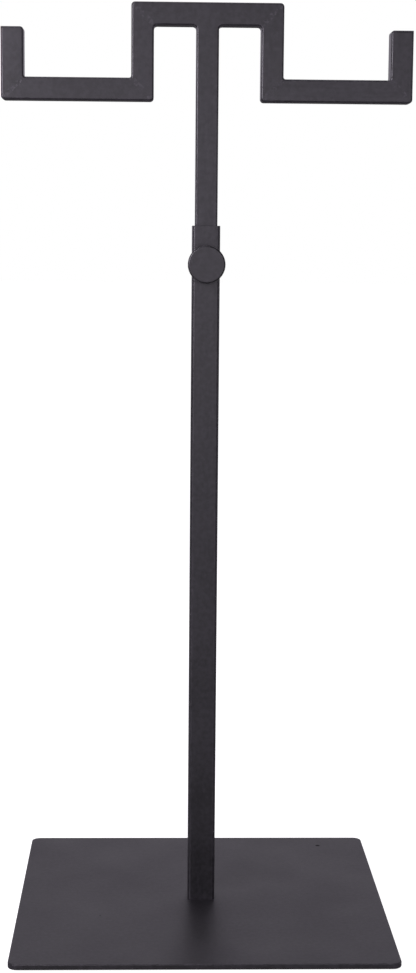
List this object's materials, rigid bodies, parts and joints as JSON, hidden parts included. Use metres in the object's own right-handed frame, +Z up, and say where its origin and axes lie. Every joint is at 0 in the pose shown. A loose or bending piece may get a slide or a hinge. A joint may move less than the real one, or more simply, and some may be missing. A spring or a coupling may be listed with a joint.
{
  "type": "two-hook display stand",
  "caption": "Countertop display stand with a square plate base, a square post that adjusts in height, a thumb screw, and a head with upturned square hooks.",
  "frame": {"origin": "middle of the footprint, on the surface that the floor pads rest on", "axes": "+Z up along the post; +X to the right hook; -Y towards the front, where the thumb screw is"},
  "size_m": [0.219, 0.203, 0.4971],
  "materials": {
    "base_coat": "black powder coat, fine texture, satin",
    "tube_coat": "black powder coat, fine texture, satin",
    "knob_coat": "black powder coat, fine texture, satin",
    "zinc_steel": "zinc-plated steel",
    "black_plastic": "black moulded plastic",
    "nylon": "natural nylon",
    "pad_rubber": "black rubber"
  },
  "bodies": {
    "base": {"base_plate": "base_coat", "floor_pad_front_left": "pad_rubber", "floor_pad_front_right": "pad_rubber", "floor_pad_back_left": "pad_rubber", "floor_pad_back_right": "pad_rubber", "base_screw": "zinc_steel", "post_foot_plug": "zinc_steel", "post_tube": "tube_coat", "clamp_nut": "tube_coat"},
    "stem": {"stem_tube": "tube_coat", "stem_guide": "black_plastic", "top_bar": "tube_coat", "left_riser": "tube_coat", "right_riser": "tube_coat", "left_hook_bar": "tube_coat", "right_hook_bar": "tube_coat", "left_hook_tip": "tube_coat", "right_hook_tip": "tube_coat", "left_tip_cap": "tube_coat", "right_tip_cap": "tube_coat"},
    "clamp_tip": {"clamp_tip": "nylon"},
    "clamp_screw": {"clamp_knob": "knob_coat", "clamp_stud": "zinc_steel"}
  },
  "joints": [
    {"name": "stem_height", "type": "slide", "parent": "base", "child": "stem", "axis": [0, 0, 1], "range_m": [-0.104, 0.1]},
    {"name": "clamp_travel", "type": "slide", "parent": "base", "child": "clamp_tip", "axis": [0, -1, 0], "range_m": [0, 0.003]},
    {"name": "clamp_turn", "type": "hinge", "parent": "clamp_tip", "child": "clamp_screw", "pos_m": [0, 0, 0.3596], "axis": [0, -1, 0], "range_deg": [0, 1080]}
  ],
  "couplings": [
    {"joint": "clamp_travel", "follows": "clamp_turn", "m_per_rad": 0.00015915}
  ]
}
